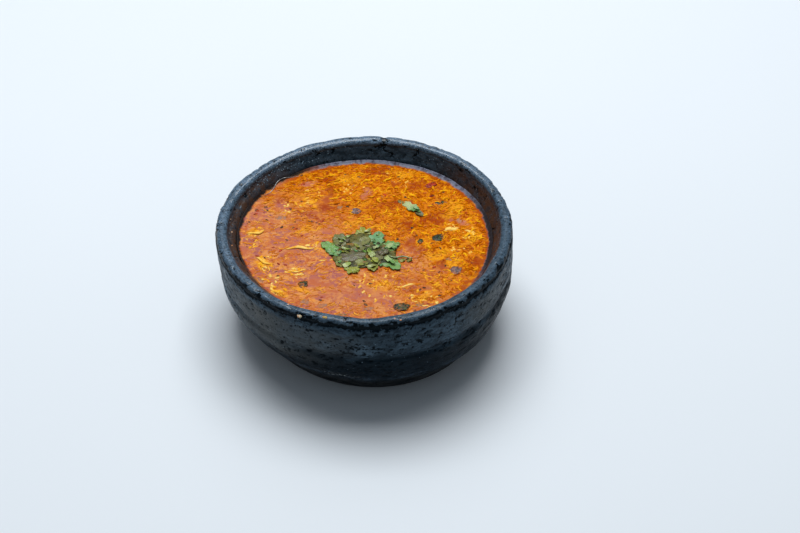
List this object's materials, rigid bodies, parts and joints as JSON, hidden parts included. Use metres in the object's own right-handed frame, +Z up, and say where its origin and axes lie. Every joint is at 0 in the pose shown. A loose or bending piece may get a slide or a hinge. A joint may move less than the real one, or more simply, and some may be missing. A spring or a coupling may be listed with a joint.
{
  "type": "bowl of chicken stew",
  "caption": "Round black clay bowl with a rounded rim and a groove round its wall, filled with shredded chicken stew, with chopped coriander on top.",
  "frame": {"origin": "on the ground under the middle of the bowl's box", "axes": "+Z up; +X to the right and +Y to the back of the side that the picture shows"},
  "size_m": [0.1608, 0.1596, 0.0641],
  "materials": {
    "black_clay": "satin",
    "stew": "gloss",
    "coriander": "satin",
    "herb": "satin",
    "onion": "satin",
    "pepper": "gloss"
  },
  "bodies": {
    "root": {"bowl": "black_clay", "stew": "stew", "coriander_heap": "coriander", "coriander_leaf": "coriander", "herb_piece_1": "herb", "herb_piece_2": "herb", "herb_piece_3": "herb", "herb_piece_4": "herb", "herb_piece_5": "herb", "onion_piece_1": "onion", "onion_piece_2": "onion", "pepper_piece": "pepper"}
  },
  "joints": []
}
